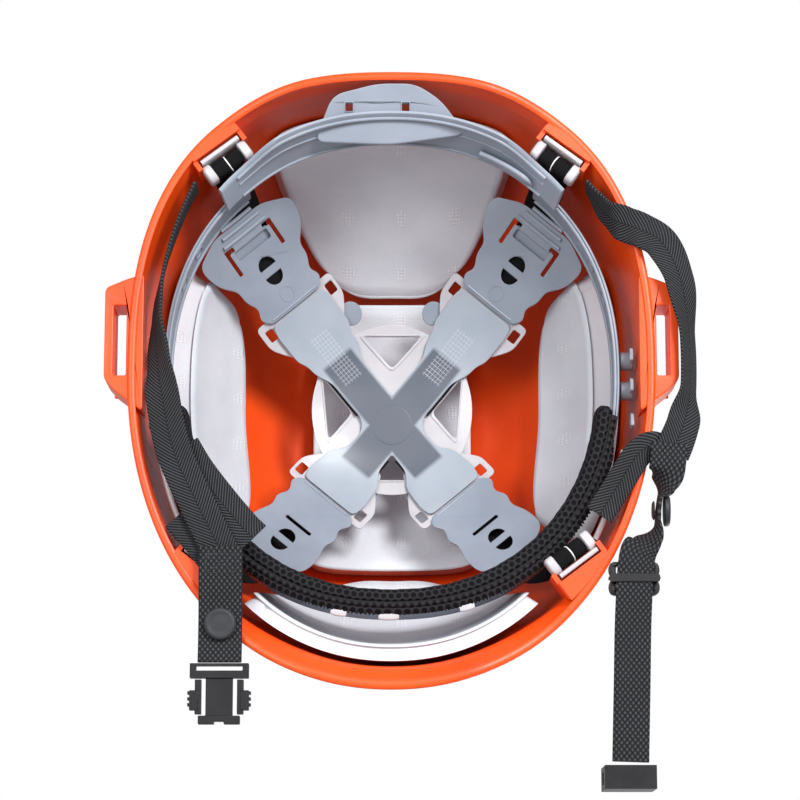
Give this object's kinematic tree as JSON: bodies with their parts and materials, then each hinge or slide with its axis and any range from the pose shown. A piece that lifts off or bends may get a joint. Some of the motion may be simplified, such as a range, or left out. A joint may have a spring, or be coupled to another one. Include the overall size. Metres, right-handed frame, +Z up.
{
  "type": "arborist helmet",
  "caption": "Arborist safety helmet with side accessory loops, foam liner, strap cradle, headband, mesh sweatband and a buckled chin strap with ladder lock.",
  "frame": {"origin": "centre of the crown seat, the flat underside of the cradle's cross plate", "axes": "+Z up through the crown as worn, front of the helmet at -Y, the wearer's left at +X"},
  "size_m": [0.2497, 0.3018, 0.1482],
  "materials": {
    "shell": "glossy injection-moulded shell",
    "foam": "white expanded bead foam with moulded dimple clusters",
    "cradle_plastic": "grey satin polyethylene, slightly translucent",
    "milky_plastic": "milky natural plastic",
    "webbing": "woven polyester webbing, herringbone and basket weave",
    "mesh_cloth": "padded spacer mesh",
    "black_plastic": "black satin acetal"
  },
  "bodies": {
    "helmet": {"shell": "shell", "eps_rear": "foam", "eps_front": "foam", "eps_left": "foam", "eps_right": "foam", "eps_crown": "foam", "cross_plate": "cradle_plastic", "ring_plate": "milky_plastic", "cradle_tape_lower": "webbing", "cradle_tape_upper": "webbing", "leg_rear_left": "cradle_plastic", "leg_rear_right": "cradle_plastic", "leg_front_left": "cradle_plastic", "leg_front_right": "cradle_plastic", "headband": "cradle_plastic", "sweatband": "mesh_cloth", "side_clip_left_rear": "cradle_plastic", "side_clip_left_front": "cradle_plastic", "hanger_bar_left": "milky_plastic", "side_clip_right_rear": "cradle_plastic", "side_clip_right_front": "cradle_plastic", "hanger_bar_right": "milky_plastic", "anchor_clip_rear_left": "milky_plastic", "anchor_loop_rear_left": "webbing", "anchor_clip_rear_right": "milky_plastic", "anchor_loop_rear_right": "webbing", "anchor_clip_front_left": "milky_plastic", "anchor_loop_front_left": "webbing", "anchor_clip_front_right": "milky_plastic", "anchor_loop_front_right": "webbing"},
    "nape": {"nape_strap": "cradle_plastic"},
    "left_yoke": {"left_yoke_rear_leg": "webbing", "left_yoke_front_leg": "webbing", "left_yoke_fold": "webbing"},
    "left_lower": {"left_lower_strap": "webbing", "left_snap_cap": "black_plastic", "left_snap_stud": "black_plastic"},
    "plug": {"buckle_plug": "black_plastic"},
    "arm_left": {"plug_arm_left": "black_plastic"},
    "arm_right": {"plug_arm_right": "black_plastic"},
    "right_yoke": {"right_yoke_rear_leg": "webbing", "right_yoke_front_leg": "webbing"},
    "right_lower": {"right_lower_strap": "webbing", "right_snap_cap": "black_plastic", "right_snap_stud": "black_plastic"},
    "lock": {"ladder_lock": "black_plastic"},
    "socket": {"buckle_socket": "black_plastic"}
  },
  "joints": [
    {"name": "nape_slide", "type": "slide", "parent": "helmet", "child": "nape", "axis": [0, -1, 0], "range_m": [0, 0.01]},
    {"name": "left_yoke_swing", "type": "hinge", "parent": "helmet", "child": "left_yoke", "pos_m": [0.07, 0.098, -0.085], "axis": [-0.0267, 0.9996, 0], "range_deg": [0, 5]},
    {"name": "left_strap_drop", "type": "hinge", "parent": "left_yoke", "child": "left_lower", "pos_m": [0.07, -0.069, -0.0986], "axis": [1, 0, 0], "range_deg": [0, 85]},
    {"name": "plug_tilt", "type": "hinge", "parent": "left_lower", "child": "plug", "pos_m": [0.07, -0.1166, -0.0976], "axis": [1, 0, 0], "range_deg": [-25, 30]},
    {"name": "arm_left_squeeze", "type": "hinge", "parent": "plug", "child": "arm_left", "pos_m": [0.0786, -0.1232, -0.0969], "axis": [0, 0, -1], "range_deg": [0, 6], "stiffness_Nm_per_rad": 0.05},
    {"name": "arm_right_squeeze", "type": "hinge", "parent": "plug", "child": "arm_right", "pos_m": [0.0614, -0.1232, -0.0969], "axis": [0, 0, 1], "range_deg": [0, 6], "stiffness_Nm_per_rad": 0.05},
    {"name": "right_yoke_swing", "type": "hinge", "parent": "helmet", "child": "right_yoke", "pos_m": [-0.07, 0.098, -0.085], "axis": [-0.0267, -0.9996, 0], "range_deg": [0, 80]},
    {"name": "right_strap_drop", "type": "hinge", "parent": "right_yoke", "child": "right_lower", "pos_m": [-0.115, -0.026, -0.0986], "axis": [1, 0, 0], "range_deg": [0, 85]},
    {"name": "lock_slide", "type": "slide", "parent": "right_lower", "child": "lock", "axis": [0.0476, -0.9989, 0], "range_m": [0, 0.06]},
    {"name": "socket_tilt", "type": "hinge", "parent": "right_lower", "child": "socket", "pos_m": [-0.097, -0.1575, -0.0987], "axis": [1, 0, 0], "range_deg": [-75, 45]}
  ],
  "couplings": [
    {"joint": "arm_right_squeeze", "follows": "arm_left_squeeze", "ratio": 1}
  ]
}
